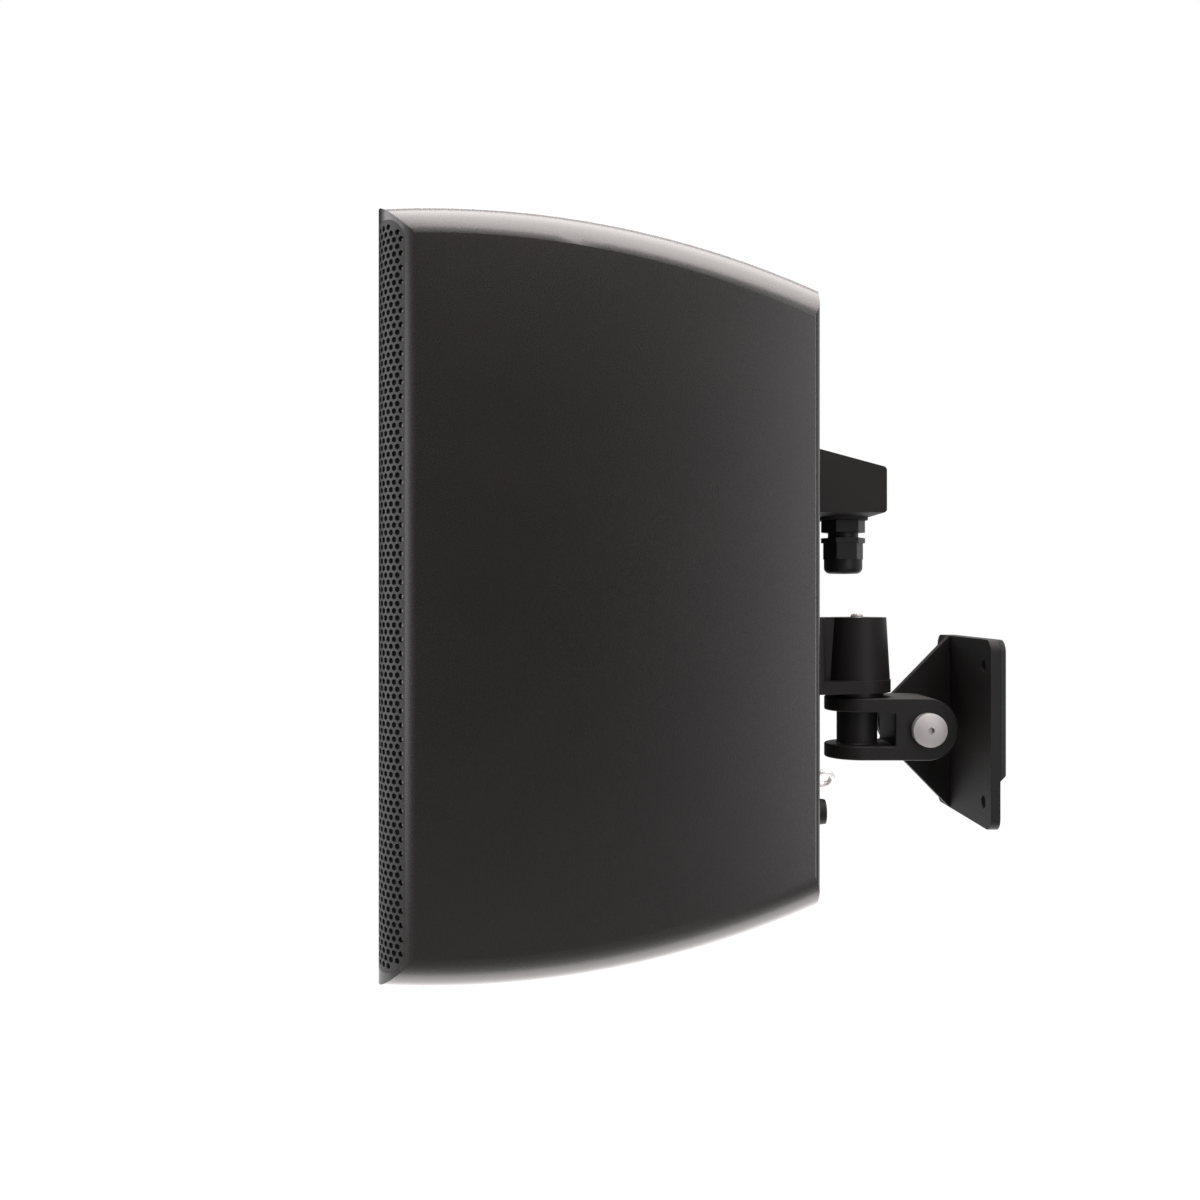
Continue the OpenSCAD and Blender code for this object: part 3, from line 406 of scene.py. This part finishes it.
FLOOR_Z = -1.25
FLOOR_HALF = 8.0
FLOOR_SHADE = 0.55
FLOOR_GLOW = 0.92
WORLD_LIGHT = 0.2
DIM_SIDE = 0.026
ROOM_FADE = (-0.1, 0.75)
FLOOR_PAINTED_GLOW_FADE = (-0.3, 1.5)
FLAG_SIDE = (-0.94, -0.34, 0.0)
FLAG_FADE = (0.45, 0.92)


def larger(tree, first, second):
    made = tree.nodes.new("ShaderNodeMath")
    made.operation = "MAXIMUM"
    tree.links.new(first, made.inputs[0])
    tree.links.new(second, made.inputs[1])
    return made.outputs[0]


def ray_kinds(tree):
    """Two sockets: 1 for the camera's own rays, and 1 for reflected or refracted ones."""
    path = tree.nodes.new("ShaderNodeLightPath")
    seen = larger(tree, path.outputs["Is Glossy Ray"], path.outputs["Is Transmission Ray"])
    return path.outputs["Is Camera Ray"], seen


def blended(tree, factor, low, high):
    """low where factor is 0 and high where it is 1; each is a number or a socket."""
    made = tree.nodes.new("ShaderNodeMix")
    tree.links.new(factor, made.inputs[0])
    for socket, value in ((made.inputs[2], low), (made.inputs[3], high)):
        if isinstance(value, float):
            socket.default_value = value
        else:
            tree.links.new(value, socket)
    return made.outputs[0]


def smooth_step(tree, value, span, low, high):
    """Goes smoothly from low to high as value goes along span."""
    made = tree.nodes.new("ShaderNodeMapRange")
    made.interpolation_type = "SMOOTHSTEP"
    for key, number in zip(("From Min", "From Max", "To Min", "To Max"), (*span, low, high)):
        made.inputs[key].default_value = number
    tree.links.new(value, made.inputs["Value"])
    return made.outputs["Result"]


def fading(tree, vector, span):
    """1 behind the object, fading to the dim side of the room as the vector's X goes along span."""
    parts = tree.nodes.new("ShaderNodeSeparateXYZ")
    tree.links.new(vector, parts.inputs[0])
    return smooth_step(tree, parts.outputs["X"], span, 1.0, DIM_SIDE)


def flagged(tree, vector):
    """1 where the vector points to the side behind the object that is kept dim, and 0 away from it."""
    toward = tree.nodes.new("ShaderNodeVectorMath")
    toward.operation = "DOT_PRODUCT"
    toward.inputs[1].default_value = FLAG_SIDE
    tree.links.new(vector, toward.inputs[0])
    return smooth_step(tree, toward.outputs["Value"], FLAG_FADE, 0.0, 1.0)


world = bpy.data.worlds.new("studio")
scene.world = world
world.use_nodes = True
sky = world.node_tree
sky.nodes.clear()
outward = sky.nodes.new("ShaderNodeTexCoord").outputs["Generated"]
room = blended(sky, flagged(sky, outward), fading(sky, outward, ROOM_FADE), DIM_SIDE)
camera_ray, mirror_ray = ray_kinds(sky)
lit = blended(sky, mirror_ray, WORLD_LIGHT, room)
background = sky.nodes.new("ShaderNodeBackground")
background.inputs["Color"].default_value = (1, 1, 1, 1)
sky.links.new(blended(sky, camera_ray, lit, 1.0), background.inputs["Strength"])
sky.links.new(background.outputs["Background"],
              sky.nodes.new("ShaderNodeOutputWorld").inputs["Surface"])

floor_graph = Graph("floor_pale")
floor_tree = floor_graph.tree
diffuse = floor_graph.node("ShaderNodeBsdfDiffuse")
diffuse.inputs["Color"].default_value = (FLOOR_SHADE,) * 3 + (1,)
glow = floor_graph.node("ShaderNodeEmission")
camera_ray, mirror_ray = ray_kinds(floor_tree)
# The floor also glows for reflected rays, strongly behind the object and fading towards the camera side: a
# painted pool of light that shows only in reflections
painted_glow_in_reflections = blended(floor_tree, mirror_ray, 0.0, fading(floor_tree, floor_graph.place(), FLOOR_PAINTED_GLOW_FADE))
floor_graph.join(blended(floor_tree, camera_ray, painted_glow_in_reflections, FLOOR_GLOW), glow.inputs["Strength"])
floor_sum = floor_graph.node("ShaderNodeAddShader")
floor_graph.join(diffuse.outputs[0], floor_sum.inputs[0])
floor_graph.join(glow.outputs[0], floor_sum.inputs[1])
floor_graph.join(floor_sum.outputs[0], floor_graph.node("ShaderNodeOutputMaterial").inputs["Surface"])

floor_mesh = bpy.data.meshes.new("floor")
floor_mesh.from_pydata(
    [(x * FLOOR_HALF, y * FLOOR_HALF, FLOOR_Z) for x, y in ((-1, -1), (1, -1), (1, 1), (-1, 1))],
    [], [(0, 1, 2, 3)])
floor_mesh.materials.append(floor_graph.material)
floor = bpy.data.objects.new("floor", floor_mesh)
scene.collection.objects.link(floor)


# Lamps

WARM = (1.0, 0.93, 0.92)
NEUTRAL = (1.0, 0.99, 1.0)
AIM_OFF = 1 * MM
MIDDLE = (0.0, -0.2, 0.084)


def soft_lamp(name, place, target, size, radiance, tint=WARM, gloss_only=False):
    """A soft rectangular lamp that faces target; radiance 1 looks as bright as the white backdrop.
    A gloss_only lamp adds to reflections alone, so a matt card shows nothing of it."""
    data = bpy.data.lights.new(name, "AREA")
    data.shape = "RECTANGLE"
    data.size, data.size_y = size
    data.energy = radiance * math.pi * size[0] * size[1]
    data.color = tint
    lamp = bpy.data.objects.new(name, data)
    lamp.location = place
    lamp.rotation_euler = (Vector(target) - Vector(place)).to_track_quat("-Z", "Y").to_euler()
    lamp.visible_camera = False
    lamp.visible_diffuse = not gloss_only
    scene.collection.objects.link(lamp)


def straight(place):
    """A target straight below or above place, a little off so that the lamp's own turn is settled."""
    return (place[0], place[1] - AIM_OFF, 0.0)


# Two lamps share the place overhead: one lights, and one just over it shows in reflections alone
ABOVE_SIZE = (2.45, 1.5)
ABOVE_RADIANCE = 2.9
for name, height, gloss_only in (("above", 1.50, False), ("above_gloss", 1.51, True)):
    place = (0.80, 0.05, height)
    soft_lamp(name, place, straight(place), ABOVE_SIZE, ABOVE_RADIANCE, gloss_only=gloss_only)
BELOW = (-0.25, -0.1, -0.60)
soft_lamp("above_behind", (-1.0, -0.2, 1.1), MIDDLE, (1.6, 0.6), 4.0)
soft_lamp("below", BELOW, straight(BELOW), (1.1, 1.5), 1.65)
soft_lamp("right", (1.50, 0.62, 0.15), MIDDLE, (0.9, 1.5), 2.4, NEUTRAL)
soft_lamp("front", (0.40, -1.60, 0.20), MIDDLE, (1.8, 1.2), 2.6, NEUTRAL)
soft_lamp("front_side", (1.30, -1.30, 0.15), MIDDLE, (0.7, 1.2), 1.1, NEUTRAL)

scene.view_settings.view_transform = "Standard"
